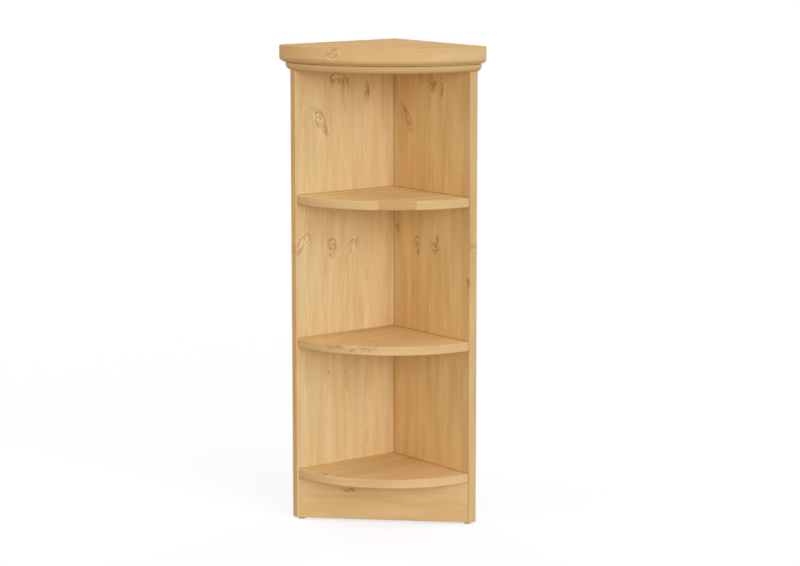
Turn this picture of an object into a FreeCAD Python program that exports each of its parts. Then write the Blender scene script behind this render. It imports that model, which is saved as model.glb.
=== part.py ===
import FreeCAD, Part
import math
import os

import Sketcher
from FreeCAD import Placement, Rotation, Vector

# Corner shelf unit in lacquered pine.
# Two side panels are butted at a right angle. Three quarter-round shelves and a straight plinth stand
# between them, and a moulded cornice board with a thick top board closes the carcass.
# Boards are modelled from the inside corner of the panels, with z = 0 at the panels' lower edge:
# x runs along the right panel, -y along the left panel, and the open front faces +x and -y.
# The finished unit is centred on its own footprint, with the soles of its glides on z = 0.

# Driving dimensions in millimetres: name, value, meaning
SIZES = (
    ("board", 18, "thickness of the panels, shelves, plinth and cornice board"),
    ("panel_reach", 246, "inside corner to the front edge of a panel"),
    ("panel_edge_round", 3, "rounding of the panels' front edges"),
    ("edge_ease", 1, "easing of the other edges that a hand meets"),
    ("plinth_height", 82, "lower edge of the panels to the underside of the bottom shelf"),
    ("lower_bay", 250, "clear height over the bottom shelf"),
    ("middle_bay", 270, "clear height over the middle shelf"),
    ("upper_bay", 249, "clear height over the upper shelf"),
    ("shelf_setback", 4, "front of the shelves and plinth behind the panels' front edges"),
    ("shelf_edge_round", 2, "rounding of the shelves' front edges"),
    ("plinth_gap", 0.3, "gap between each mitred end of the plinth and its panel"),
    ("top_overhang", 26, "fascia of the top board beyond the panels' front edges"),
    ("top_board_height", 32, "thickness of the top board"),
    ("top_edge_round", 1.5, "rounding of the top board's upper edge"),
    ("ovolo_height", 8, "height of the ovolo under the fascia"),
    ("ovolo_depth", 9.5, "how far the ovolo runs back from the fascia"),
    ("fillet_step", 0.5, "foot of the ovolo to the small fillet of the cornice board"),
    ("fillet_height", 2.2, "height of that fillet"),
    ("quirk_step", 7, "fillet to the bottom of the groove below it"),
    ("quirk_height", 2, "height of that groove"),
    ("bead_step", 5, "fillet to the face of the round below the groove"),
    ("bead_depth", 10.5, "how far that round runs back to its foot"),
    ("dowel_diameter", 8, "wooden dowel"),
    ("dowel_length", 30, "length of a dowel"),
    ("dowel_in_face", 10, "depth of a dowel in the face of a board"),
    ("dowel_chamfer", 1, "chamfer on the dowel's ends"),
    ("dowel_fit", 0.1, "gap round a dowel"),
    ("hole_end_gap", 0.5, "depth of a blind hole beyond its dowel, screw or nail"),
    ("screw_length", 50, "carcass screw"),
    ("screw_head", 10, "diameter of its countersunk head"),
    ("screw_shank", 7, "diameter of its plain shank"),
    ("screw_core", 5, "diameter of its threaded stretch, drawn plain"),
    ("screw_point", 4, "length of its point"),
    ("screw_socket", 4, "width of the hexagon socket across its flats"),
    ("screw_socket_depth", 2.5, "depth of that socket"),
    ("screw_recess", 0.3, "countersunk heads below the face of their board"),
    ("screw_fit", 0.1, "gap round a screw"),
    ("screw_back", 60, "inside corner to the rear screw of each joint"),
    ("screw_front", 46, "front screw of each joint behind the panels' front edges"),
    ("corner_inset", 60, "end screws of the corner joint from the panels' ends"),
    ("top_screw_length", 40, "wood screw that holds the top board"),
    ("top_screw_head", 8, "diameter of its countersunk head"),
    ("top_screw_shank", 4, "diameter of its plain shank"),
    ("top_screw_core", 3, "diameter of its threaded stretch, drawn plain"),
    ("top_screw_socket", 2.5, "width of its hexagon socket across the flats"),
    ("top_screw_inset", 40, "top board screws from the panels' inner faces"),
    ("top_screw_reach", 190, "front top board screws from the inside corner"),
    ("plinth_dowel_spread", 80, "dowels of the plinth from its middle"),
    ("bracket_spread", 40, "brackets of the plinth from its middle"),
    ("bracket_leg", 25, "length of each leg of a bracket"),
    ("bracket_width", 16, "width of a bracket"),
    ("bracket_sheet", 1.5, "thickness of its steel sheet"),
    ("bracket_bend", 1.5, "inside radius of its bend"),
    ("bracket_hole_at", 16, "hole of each leg from the outside of the bend"),
    ("bracket_screw_length", 14, "screw that holds a bracket"),
    ("bracket_screw_head", 7, "diameter of its pan head"),
    ("bracket_screw_head_height", 2.2, "height of its pan head"),
    ("bracket_screw_core", 3, "diameter of its threaded stretch, drawn plain"),
    ("glide_diameter", 16, "nail-on glide"),
    ("glide_height", 5, "floor to the lower edge of the panels"),
    ("glide_edge_round", 2, "rounding of the glide's sole"),
    ("glide_inset", 17, "middle of a glide from the end of its panel"),
    ("nail_head", 6, "diameter of the glide's nail head"),
    ("nail_head_height", 1, "thickness of the nail head"),
    ("nail_recess", 2, "depth of the nail head's seat in the sole"),
    ("nail_shank", 2, "diameter of the nail"),
    ("nail_length", 18, "length of the nail"),
)

CORNER_SCREW_COUNT = 4
FULL_TURN = 360
COUNTERSINK_ANGLE = 90
CHORD_TURN = 45
SAME_PLACE = 1e-4

# Formulas that more than one piece shares
SHELF_RADIUS = "(sizes.panel_reach - sizes.shelf_setback)"
BOTTOM_LEVEL = "sizes.plinth_height"
MIDDLE_LEVEL = f"({BOTTOM_LEVEL} + sizes.board + sizes.lower_bay)"
UPPER_LEVEL = f"({MIDDLE_LEVEL} + sizes.board + sizes.middle_bay)"
PANEL_HEIGHT = f"({UPPER_LEVEL} + sizes.board + sizes.upper_bay)"
TOP_LEVEL = f"({PANEL_HEIGHT} + sizes.board)"
TOP_RADIUS = "(sizes.panel_reach + sizes.top_overhang)"
OVOLO_FOOT = f"({TOP_RADIUS} - sizes.ovolo_depth)"
OVERALL = f"(sizes.board + {TOP_RADIUS})"
CORNER_X = f"(sizes.board - {OVERALL} / 2)"
CORNER_Y = f"({OVERALL} / 2 - sizes.board)"
MID_BOARD = "(sizes.board / 2)"
SCREW_FRONT = "(sizes.panel_reach - sizes.screw_front)"
DOWEL_AT = f"((sizes.screw_back + {SCREW_FRONT}) / 2)"
GLIDE_FRONT = "(sizes.panel_reach - sizes.glide_inset)"
PLINTH_FACE = f"({SHELF_RADIUS} / sqrt(2))"
PLINTH_BACK = f"({PLINTH_FACE} - sizes.board)"
DOWEL_HOLE = "(sizes.dowel_diameter + 2 * sizes.dowel_fit)"
DOWEL_FACE_DEPTH = "(sizes.dowel_in_face + sizes.hole_end_gap)"
DOWEL_EDGE_DEPTH = "(sizes.dowel_length - sizes.dowel_in_face + sizes.hole_end_gap)"
SCREW_PILOT = "(sizes.screw_core + 2 * sizes.screw_fit)"
SCREW_PILOT_DEPTH = "(sizes.screw_length + sizes.screw_recess - sizes.board + sizes.hole_end_gap)"
TOP_SCREW_DEPTH = "(sizes.top_screw_length + sizes.screw_recess - sizes.board + sizes.hole_end_gap)"
BRACKET_HOLE = "(sizes.bracket_screw_core + 2 * sizes.screw_fit)"
BRACKET_PILOT_DEPTH = "(sizes.bracket_screw_length - sizes.bracket_sheet + sizes.hole_end_gap)"

LEVELS = {"bottom": BOTTOM_LEVEL, "middle": MIDDLE_LEVEL, "upper": UPPER_LEVEL}

doc = FreeCAD.newDocument("corner_shelf_unit")
sheet = doc.addObject("Spreadsheet::Sheet", "sizes")
for row, (name, value, meaning) in enumerate(SIZES, start=1):
    sheet.set(f"A{row}", meaning)
    sheet.set(f"B{row}", str(value))
    sheet.setAlias(f"B{row}", name)
doc.recompute()


# Helpers for sketches and features

def number(formula):
    """Value of a formula over the sheet."""
    return float(sheet.evalExpression(str(formula)))


def less(formula):
    """The formula with its sign changed."""
    return f"(-({formula}))"


def new_body(label, lift="0", turn=0):
    """Body whose origin is the inside corner of the panels, at a height above their lower edge."""
    body = doc.addObject("PartDesign::Body", label)
    body.Label = label
    body.Placement = Placement(Vector(), Rotation(Vector(0, 0, 1), turn))
    body.setExpression("Placement.Base.x", CORNER_X)
    body.setExpression("Placement.Base.y", CORNER_Y)
    body.setExpression("Placement.Base.z", f"sizes.glide_height + {lift}")
    return body


def new_sketch(body, name, role, lift="0"):
    """Sketch on one of the body's own origin planes, lifted along that plane's normal."""
    sketch = body.newObject("Sketcher::SketchObject", f"{body.Label}_{name}")
    support = next(item for item in body.Origin.OriginFeatures if item.Role == role)
    sketch.AttachmentSupport = [(support, "")]
    sketch.MapMode = "FlatFace"
    sketch.setExpression("AttachmentOffset.Base.z", lift)
    return sketch


def pin(sketch, geometry, point, x, y):
    """Tie a point of the sketch to formulas for its two coordinates."""
    for kind, formula in (("DistanceX", x), ("DistanceY", y)):
        if formula is None:
            continue
        rule = Sketcher.Constraint(kind, -1, 1, geometry, point, number(formula))
        index = sketch.addConstraint(rule)
        sketch.setExpression(f"Constraints[{index}]", str(formula))


def draw_outline(sketch, path):
    """Closed outline. A path entry (x, y) is a corner, and (x, y, cx, cy) is a corner that an arc about
    (cx, cy) leads to. All entries are formulas."""
    corners = [Vector(number(entry[0]), number(entry[1]), 0) for entry in path]
    pieces = []
    for index, entry in enumerate(path):
        start = corners[index - 1]
        end = corners[index]
        if len(entry) == 2:
            added = sketch.addGeometry(Part.LineSegment(start, end), False)
            pieces.append((added, 1, 2))
            continue
        centre = Vector(number(entry[2]), number(entry[3]), 0)
        first = math.atan2(start.y - centre.y, start.x - centre.x)
        last = math.atan2(end.y - centre.y, end.x - centre.x)
        forward = (last - first) % (2 * math.pi) < math.pi
        circle = Part.Circle(centre, Vector(0, 0, 1), (end - centre).Length)
        arc = Part.ArcOfCircle(circle, first, last) if forward else Part.ArcOfCircle(circle, last, first)
        added = sketch.addGeometry(arc, False)
        pieces.append((added, 1, 2) if forward else (added, 2, 1))
    for index, (added, begin, finish) in enumerate(pieces):
        following, next_begin, _ = pieces[(index + 1) % len(pieces)]
        sketch.addConstraint(Sketcher.Constraint("Coincident", added, finish, following, next_begin))
        entry = path[index]
        pin(sketch, added, finish, entry[0], entry[1])
        if len(entry) == 4:
            pin(sketch, added, 3, entry[2], None)


def pad(body, name, sketch, height, midplane=False):
    """Pad a sketch to a height."""
    feature = body.newObject("PartDesign::Pad", f"{body.Label}_{name}")
    feature.Profile = sketch
    feature.setExpression("Length", height)
    feature.Midplane = midplane
    doc.recompute()
    return feature


def turn_profile(body, path):
    """Turn a closed profile, given as (radius, height), once round the vertical axis."""
    sketch = new_sketch(body, "profile", "XZ_Plane")
    draw_outline(sketch, path)
    feature = body.newObject("PartDesign::Revolution", f"{body.Label}_turned")
    feature.Profile = sketch
    feature.ReferenceAxis = (sketch, ["V_Axis"])
    feature.Angle = FULL_TURN
    doc.recompute()
    return feature


def must_cut(body, before, name):
    """Recompute and stop if a cut removed nothing."""
    doc.recompute()
    if body.Shape.isNull() or before - body.Shape.Volume < 1:
        raise RuntimeError(f"{body.Label}: {name} cut nothing")


def pocket(body, name, sketch, depth, along_normal=False):
    """Pocket against the sketch's normal, or along it. Without a depth it goes through all."""
    before = body.Shape.Volume
    feature = body.newObject("PartDesign::Pocket", f"{body.Label}_{name}")
    feature.Profile = sketch
    feature.Reversed = along_normal
    if depth is None:
        feature.Type = "ThroughAll"
    else:
        feature.setExpression("Length", depth)
    must_cut(body, before, name)
    return feature


def draw_circles(sketch, spots, diameter):
    """One circle of the same diameter at each spot."""
    for x, y in spots:
        circle = Part.Circle(Vector(number(x), number(y), 0), Vector(0, 0, 1), number(diameter) / 2)
        added = sketch.addGeometry(circle, False)
        pin(sketch, added, 3, x, y)
        index = sketch.addConstraint(Sketcher.Constraint("Diameter", added, number(diameter)))
        sketch.setExpression(f"Constraints[{index}]", diameter)


def drill(body, name, role, lift, spots, diameter, depth, along_normal=False):
    """Round blind holes at spots of a plane."""
    sketch = new_sketch(body, f"{name}_spots", role, lift)
    draw_circles(sketch, spots, diameter)
    return pocket(body, name, sketch, depth, along_normal)


def drill_seats(body, name, role, lift, spots, shank, head, along_normal=False):
    """Round through holes with a countersunk seat for a screw head at each spot of a plane."""
    clear = f"({shank} + 2 * sizes.screw_fit)"
    sketch = new_sketch(body, f"{name}_spots", role, lift)
    draw_circles(sketch, spots, clear)
    before = body.Shape.Volume
    feature = body.newObject("PartDesign::Hole", f"{body.Label}_{name}")
    feature.Profile = sketch
    doc.recompute()
    feature.ThreadType = "None"
    feature.DepthType = "ThroughAll"
    feature.HoleCutType = "Countersink"
    feature.HoleCutCustomValues = True
    feature.Reversed = along_normal
    feature.HoleCutCountersinkAngle = COUNTERSINK_ANGLE
    feature.setExpression("Diameter", clear)
    feature.setExpression("HoleCutDiameter", f"{head} + 2 * (sizes.screw_recess + sizes.screw_fit)")
    must_cut(body, before, name)
    return feature


def round_edges(body, name, radius, wanted):
    """Fillet the edges of the body's last feature that the test picks."""
    base = body.Tip
    picked = [f"Edge{index}" for index, edge in enumerate(base.Shape.Edges, start=1) if wanted(edge)]
    if not picked:
        raise RuntimeError(f"{body.Label}: no edge for {name}")
    feature = body.newObject("PartDesign::Fillet", f"{body.Label}_{name}")
    feature.Base = (base, picked)
    feature.setExpression("Radius", radius)
    doc.recompute()
    return feature


def level_near(value, formula):
    """True where a coordinate lies on the value of a formula."""
    return abs(value - number(formula)) < SAME_PLACE


def is_upright(edge):
    """True for a straight vertical edge."""
    box = edge.BoundBox
    return box.ZLength > SAME_PLACE and box.XLength < SAME_PLACE and box.YLength < SAME_PLACE


def at_outside_corner(edge):
    """True for the vertical edge where the outer faces of the two panels meet."""
    middle = edge.BoundBox.Center
    outermost = level_near(middle.x, less("sizes.board")) and level_near(middle.y, "sizes.board")
    return outermost and is_upright(edge)


def on_foot(edge):
    """True for an edge that lies in the lower face of its board."""
    return level_near(edge.BoundBox.ZMax, "0")


# Boards

def corner_heights(count, inset):
    """Heights evenly spaced between the ends of the panels' corner joint."""
    step = f"(({PANEL_HEIGHT} - 2 * {inset}) / {count - 1})"
    return [f"({inset} + {index} * {step})" for index in range(count)]


def corner_screw_heights():
    """Heights of the screws in the corner joint."""
    return corner_heights(CORNER_SCREW_COUNT, "sizes.corner_inset")


def corner_dowel_heights():
    """Heights of the dowels, halfway between neighbouring screws."""
    screws = corner_screw_heights()
    return [f"(({low} + {high}) / 2)" for low, high in zip(screws, screws[1:])]


def shelf_middles():
    """Heights of the middle of each shelf."""
    return [f"({level} + {MID_BOARD})" for level in LEVELS.values()]


def finish_panel(body, role, along):
    """Round the panel's edges and drill what the two panels have alike. along turns a distance from the
    inside corner into the coordinate that runs along the panel in its plane."""
    left = role == "YZ_Plane"
    front = along("sizes.panel_reach")
    foot = (lambda spot: (less(MID_BOARD), spot)) if left else (lambda spot: (spot, MID_BOARD))

    def at_front(edge):
        place = edge.BoundBox.Center.y if left else edge.BoundBox.Center.x
        return is_upright(edge) and level_near(place, front)

    round_edges(body, "front_rounding", "sizes.panel_edge_round", at_front)
    round_edges(body, "foot_easing", "sizes.edge_ease", on_foot)
    shelf_spots = [(along(spot), middle) for middle in shelf_middles()
                   for spot in ("sizes.screw_back", SCREW_FRONT)]
    corner_spots = [(MID_BOARD, height) for height in corner_screw_heights()] if left else []
    drill_seats(body, "screw_seats", role, less("sizes.board"), shelf_spots + corner_spots,
                "sizes.screw_shank", "sizes.screw_head", along_normal=True)
    dowel_spots = [(along(DOWEL_AT), middle) for middle in shelf_middles()]
    if left:
        dowel_spots += [(MID_BOARD, height) for height in corner_dowel_heights()]
    drill(body, "face_dowel_holes", role, "0", dowel_spots, DOWEL_HOLE, DOWEL_FACE_DEPTH)
    top_spots = [foot(along("sizes.screw_back")), foot(along(SCREW_FRONT))]
    drill(body, "top_screw_pilots", "XY_Plane", PANEL_HEIGHT, top_spots, SCREW_PILOT, SCREW_PILOT_DEPTH)
    drill(body, "top_dowel_hole", "XY_Plane", PANEL_HEIGHT, [foot(along(DOWEL_AT))],
          DOWEL_HOLE, DOWEL_EDGE_DEPTH)
    nail_spots = [(x, y) for x, y in glide_places(left).values()]
    drill(body, "nail_holes", "XY_Plane", "0", nail_spots, "(sizes.nail_shank + 2 * sizes.screw_fit)",
          f"(sizes.nail_length + sizes.nail_recess - sizes.nail_head_height - sizes.glide_height"
          f" + sizes.hole_end_gap)", along_normal=True)


def glide_places(left):
    """Places of the front and rear glide under the left or the right panel."""
    if left:
        rear = "(sizes.board - sizes.glide_inset)"
        return {"front": (less(MID_BOARD), less(GLIDE_FRONT)), "rear": (less(MID_BOARD), rear)}
    return {"front": (GLIDE_FRONT, MID_BOARD), "rear": ("sizes.glide_inset", MID_BOARD)}


def left_panel():
    """Panel that runs from the outside corner to the front, along -y."""
    body = new_body("left_panel")
    sketch = new_sketch(body, "outline", "XY_Plane")
    front = less("sizes.panel_reach")
    back = "sizes.board"
    outer = less("sizes.board")
    draw_outline(sketch, [(outer, front), ("0", front), ("0", back), (outer, back)])
    pad(body, "board", sketch, PANEL_HEIGHT)
    round_edges(body, "corner_easing", "sizes.edge_ease", at_outside_corner)
    finish_panel(body, "YZ_Plane", less)
    return body


def right_panel():
    """Panel that butts against the left panel's inner face and runs along x."""
    body = new_body("right_panel")
    sketch = new_sketch(body, "outline", "XY_Plane")
    front = "sizes.panel_reach"
    outer = "sizes.board"
    draw_outline(sketch, [("0", "0"), (front, "0"), (front, outer), ("0", outer)])
    pad(body, "board", sketch, PANEL_HEIGHT)
    finish_panel(body, "XZ_Plane", str)
    screw_spots = [(MID_BOARD, height) for height in corner_screw_heights()]
    drill(body, "corner_pilots", "YZ_Plane", "0", screw_spots, SCREW_PILOT, SCREW_PILOT_DEPTH, True)
    dowel_spots = [(MID_BOARD, height) for height in corner_dowel_heights()]
    drill(body, "corner_dowel_holes", "YZ_Plane", "0", dowel_spots, DOWEL_HOLE, DOWEL_EDGE_DEPTH, True)
    return body


def quarter_board(label, level):
    """Quarter-round shelf between the panels, drilled in its two straight edges."""
    body = new_body(label, level)
    sketch = new_sketch(body, "outline", "XY_Plane")
    draw_outline(sketch, [("0", "0"), ("0", less(SHELF_RADIUS)), (SHELF_RADIUS, "0", "0", "0")])
    pad(body, "board", sketch, "sizes.board")

    def on_arc(edge):
        return isinstance(edge.Curve, Part.Circle) and level_near(edge.Curve.Radius, SHELF_RADIUS)

    round_edges(body, "front_rounding", "sizes.shelf_edge_round", on_arc)
    for role, along in (("XZ_Plane", str), ("YZ_Plane", less)):
        screw_spots = [(along("sizes.screw_back"), MID_BOARD), (along(SCREW_FRONT), MID_BOARD)]
        drill(body, f"{role}_pilots", role, "0", screw_spots, SCREW_PILOT, SCREW_PILOT_DEPTH, True)
        dowel_spots = [(along(DOWEL_AT), MID_BOARD)]
        drill(body, f"{role}_dowel_hole", role, "0", dowel_spots, DOWEL_HOLE, DOWEL_EDGE_DEPTH, True)
    return body


def across_chord(along, inward):
    """Coordinates, from the inside corner, of a place given along the plinth and towards its front."""
    return f"(({along} + {inward}) / sqrt(2))", f"(({along} - {inward}) / sqrt(2))"


def plinth_dowel_places():
    """Places of the plinth's dowels, from the inside corner."""
    middle = f"({PLINTH_FACE} - {MID_BOARD})"
    return [across_chord(side, middle) for side in (less("sizes.plinth_dowel_spread"),
                                                    "sizes.plinth_dowel_spread")]


def bracket_shelf_places():
    """Places of the bracket screws that go up into the bottom shelf, from the inside corner."""
    inward = f"({PLINTH_BACK} - sizes.bracket_hole_at)"
    return [across_chord(side, inward) for side in (less("sizes.bracket_spread"), "sizes.bracket_spread")]


def bottom_shelf():
    """Lowest shelf, also drilled underneath for the plinth."""
    body = quarter_board("bottom_shelf", BOTTOM_LEVEL)
    drill(body, "plinth_dowel_holes", "XY_Plane", "0", plinth_dowel_places(), DOWEL_HOLE,
          DOWEL_FACE_DEPTH, True)
    drill(body, "bracket_pilots", "XY_Plane", "0", bracket_shelf_places(), BRACKET_HOLE,
          BRACKET_PILOT_DEPTH, True)
    return body


def plinth_board():
    """Straight plinth under the bottom shelf, mitred at both ends to lie against the panels."""
    body = new_body("plinth_board", "0", CHORD_TURN)
    sketch = new_sketch(body, "outline", "XY_Plane")
    front = less(PLINTH_FACE)
    back = less(PLINTH_BACK)
    front_end = f"({PLINTH_FACE} - sizes.plinth_gap * sqrt(2))"
    back_end = f"({front_end} - sizes.board)"
    draw_outline(sketch, [(less(front_end), front), (front_end, front), (back_end, back),
                          (less(back_end), back)])
    pad(body, "board", sketch, "sizes.plinth_height")
    round_edges(body, "foot_easing", "sizes.edge_ease",
                lambda edge: on_foot(edge) and level_near(edge.BoundBox.YMax, front))
    dowel_spots = [(side, f"(({front} + {back}) / 2)") for side in (less("sizes.plinth_dowel_spread"),
                                                                   "sizes.plinth_dowel_spread")]
    drill(body, "dowel_holes", "XY_Plane", "sizes.plinth_height", dowel_spots, DOWEL_HOLE,
          DOWEL_EDGE_DEPTH)
    pilot_height = "(sizes.plinth_height - sizes.bracket_hole_at)"
    pilot_spots = [(less("sizes.bracket_spread"), pilot_height), ("sizes.bracket_spread", pilot_height)]
    drill(body, "bracket_pilots", "XZ_Plane", PLINTH_BACK, pilot_spots, BRACKET_HOLE,
          BRACKET_PILOT_DEPTH, True)
    return body


def saw_to_corner(body, reach):
    """Saw a turned disc along the panels' two outer faces, which leaves the corner quarter."""
    outer = "sizes.board"
    far = f"(2 * {reach})"
    for name, corners in (
        ("left_saw_cut", [(less(far), less(far)), (less(outer), less(far)), (less(outer), far),
                          (less(far), far)]),
        ("right_saw_cut", [(less(far), outer), (far, outer), (far, far), (less(far), far)]),
    ):
        sketch = new_sketch(body, f"{name}_area", "XY_Plane")
        draw_outline(sketch, corners)
        pocket(body, name, sketch, None, along_normal=True)


def top_screw_places():
    """Places of the screws that hold the top board, from the inside corner."""
    inset = "sizes.top_screw_inset"
    reach = "sizes.top_screw_reach"
    diagonal = f"({reach} / sqrt(2))"
    return [(inset, less(inset)), (reach, less(inset)), (inset, less(reach)), (diagonal, less(diagonal))]


def cornice_board():
    """Board on the panels whose front edge is routed with a fillet, a groove and a round."""
    body = new_body("cornice_board", PANEL_HEIGHT)
    fillet = f"({OVOLO_FOOT} - sizes.fillet_step)"
    quirk = f"({fillet} - sizes.quirk_step)"
    bead = f"({fillet} - sizes.bead_step)"
    bead_foot = f"({bead} - sizes.bead_depth)"
    fillet_foot = "(sizes.board - sizes.fillet_height)"
    quirk_foot = f"({fillet_foot} - sizes.quirk_height)"
    bead_radius = f"((sizes.bead_depth ^ 2 + {quirk_foot} ^ 2) / (2 * sizes.bead_depth))"
    turn_profile(body, [
        ("0", "0"),
        (bead_foot, "0"),
        (bead, quirk_foot, f"({bead} - {bead_radius})", quirk_foot),
        (quirk, quirk_foot),
        (quirk, fillet_foot),
        (fillet, fillet_foot),
        (fillet, "sizes.board"),
        ("0", "sizes.board"),
    ])
    saw_to_corner(body, TOP_RADIUS)
    round_edges(body, "corner_easing", "sizes.edge_ease", at_outside_corner)
    over_panels = cornice_screw_places()
    drill_seats(body, "screw_seats", "XY_Plane", "sizes.board", over_panels,
                "sizes.screw_shank", "sizes.screw_head")
    drill_seats(body, "top_screw_seats", "XY_Plane", "0", top_screw_places(),
                "sizes.top_screw_shank", "sizes.top_screw_head", along_normal=True)
    drill(body, "dowel_holes", "XY_Plane", "0", cornice_dowel_places(), DOWEL_HOLE, DOWEL_FACE_DEPTH, True)
    return body


def cornice_screw_places():
    """Places of the screws that hold the cornice board on the panels' upper edges."""
    places = []
    for distance in ("sizes.screw_back", SCREW_FRONT):
        places.append((less(MID_BOARD), less(distance)))
        places.append((distance, MID_BOARD))
    return places


def cornice_dowel_places():
    """Places of the dowels between the panels' upper edges and the cornice board."""
    return [(less(MID_BOARD), less(DOWEL_AT)), (DOWEL_AT, MID_BOARD)]


def top_board():
    """Thick top board with a flat fascia over an ovolo that ends level with its underside."""
    body = new_body("top_board", TOP_LEVEL)
    ovolo_radius = "((sizes.ovolo_depth ^ 2 + sizes.ovolo_height ^ 2) / (2 * sizes.ovolo_height))"
    shoulder = f"({TOP_RADIUS} - sizes.top_edge_round)"
    shoulder_height = "(sizes.top_board_height - sizes.top_edge_round)"
    turn_profile(body, [
        ("0", "0"),
        (OVOLO_FOOT, "0"),
        (TOP_RADIUS, "sizes.ovolo_height", OVOLO_FOOT, ovolo_radius),
        (TOP_RADIUS, shoulder_height),
        (shoulder, "sizes.top_board_height", shoulder, shoulder_height),
        ("0", "sizes.top_board_height"),
    ])
    saw_to_corner(body, TOP_RADIUS)
    round_edges(body, "corner_easing", "sizes.edge_ease", at_outside_corner)
    round_edges(body, "back_easing", "sizes.edge_ease", lambda edge: isinstance(edge.Curve, Part.Line)
                and level_near(edge.BoundBox.ZMin, "sizes.top_board_height"))
    drill(body, "screw_pilots", "XY_Plane", "0", top_screw_places(),
          "(sizes.top_screw_core + 2 * sizes.screw_fit)", TOP_SCREW_DEPTH, True)
    return body


# Hardware

def plinth_bracket(label, side):
    """Bent steel angle behind the plinth, under the bottom shelf."""
    body = new_body(label, "sizes.plinth_height", CHORD_TURN)
    sketch = new_sketch(body, "section", "YZ_Plane", side)
    back = less(PLINTH_BACK)
    leg_end = f"({back} + sizes.bracket_leg)"
    inner = f"({back} + sizes.bracket_sheet)"
    under = less("sizes.bracket_sheet")
    foot = less("sizes.bracket_leg")
    outside_bend = "(sizes.bracket_bend + sizes.bracket_sheet)"
    bend_middle = f"({back} + {outside_bend})"
    draw_outline(sketch, [
        (leg_end, "0"),
        (leg_end, under),
        (bend_middle, under),
        (inner, less(outside_bend), bend_middle, less(outside_bend)),
        (inner, foot),
        (back, foot),
        (back, less(outside_bend)),
        (bend_middle, "0", bend_middle, less(outside_bend)),
    ])
    pad(body, "angle", sketch, "sizes.bracket_width", midplane=True)
    hole_place = f"({back} + sizes.bracket_hole_at)"
    drill(body, "shelf_hole", "XY_Plane", "0", [(side, hole_place)], BRACKET_HOLE, "sizes.bracket_sheet")
    drill(body, "plinth_hole", "XZ_Plane", PLINTH_BACK, [(side, less("sizes.bracket_hole_at"))],
          BRACKET_HOLE, "sizes.bracket_sheet")
    return body


def glide(label, place):
    """Round nail-on glide with a seat for its nail head."""
    body = new_body(label, "(-sizes.glide_height)")
    body.setExpression("Placement.Base.x", f"{CORNER_X} + {place[0]}")
    body.setExpression("Placement.Base.y", f"{CORNER_Y} + {place[1]}")
    rim = "(sizes.glide_diameter / 2)"
    sole = f"({rim} - sizes.glide_edge_round)"
    seat = "(sizes.nail_head / 2 + sizes.screw_fit)"
    bore = "(sizes.nail_shank / 2 + sizes.screw_fit)"
    turn_profile(body, [
        (seat, "0"),
        (sole, "0"),
        (rim, "sizes.glide_edge_round", sole, "sizes.glide_edge_round"),
        (rim, "sizes.glide_height"),
        (bore, "sizes.glide_height"),
        (bore, "sizes.nail_recess"),
        (seat, "sizes.nail_recess"),
    ])
    return body


def loose_body(label):
    """Body of one fastener, upright at the origin, from which the fasteners in place are linked."""
    body = doc.addObject("PartDesign::Body", label)
    body.Label = label
    return body


def countersunk_screw(label, kind, socket, socket_depth):
    """Screw along z with a countersunk head at z = 0 and a hexagon socket. kind is the start of the
    names of its sizes."""
    body = loose_body(label)
    head = f"(sizes.{kind}_head / 2)"
    shank = f"(sizes.{kind}_shank / 2)"
    core = f"(sizes.{kind}_core / 2)"
    length = f"sizes.{kind}_length"
    neck = f"({head} - {shank})"
    shoulder = "(sizes.board - sizes.screw_recess - sizes.hole_end_gap)"
    turn_profile(body, [
        ("0", "0"),
        (head, "0"),
        (shank, neck),
        (shank, shoulder),
        (core, shoulder),
        (core, f"({length} - sizes.screw_point)"),
        ("0", length),
    ])
    sketch = new_sketch(body, "socket", "XY_Plane")
    corner = f"({socket} / sqrt(3))"
    draw_outline(sketch, [(f"({corner} * cos({60 * step}))", f"({corner} * sin({60 * step}))")
                          for step in range(6)])
    pocket(body, "socket_pocket", sketch, socket_depth, along_normal=True)
    return body


def pan_screw(label):
    """Short screw along z with a pan head below z = 0."""
    body = loose_body(label)
    head = "(sizes.bracket_screw_head / 2)"
    core = "(sizes.bracket_screw_core / 2)"
    crown = "(sizes.bracket_screw_head_height / 2)"
    flat = f"({head} - {crown})"
    turn_profile(body, [
        ("0", less("sizes.bracket_screw_head_height")),
        (flat, less("sizes.bracket_screw_head_height")),
        (head, less(crown), flat, less(crown)),
        (head, "0"),
        (core, "0"),
        (core, f"(sizes.bracket_screw_length - {core})"),
        ("0", "sizes.bracket_screw_length"),
    ])
    return body


def dowel(label):
    """Wooden dowel along z with chamfered ends."""
    body = loose_body(label)
    radius = "(sizes.dowel_diameter / 2)"
    end = f"({radius} - sizes.dowel_chamfer)"
    turn_profile(body, [
        ("0", "0"),
        (end, "0"),
        (radius, "sizes.dowel_chamfer"),
        (radius, "(sizes.dowel_length - sizes.dowel_chamfer)"),
        (end, "sizes.dowel_length"),
        ("0", "sizes.dowel_length"),
    ])
    return body


def nail(label):
    """Nail along z with a flat head on z = 0."""
    body = loose_body(label)
    head = "(sizes.nail_head / 2)"
    shank = "(sizes.nail_shank / 2)"
    turn_profile(body, [
        ("0", "0"),
        (head, "0"),
        (head, "sizes.nail_head_height"),
        (shank, "sizes.nail_head_height"),
        (shank, "(sizes.nail_length - sizes.nail_shank)"),
        ("0", "sizes.nail_length"),
    ])
    return body


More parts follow.
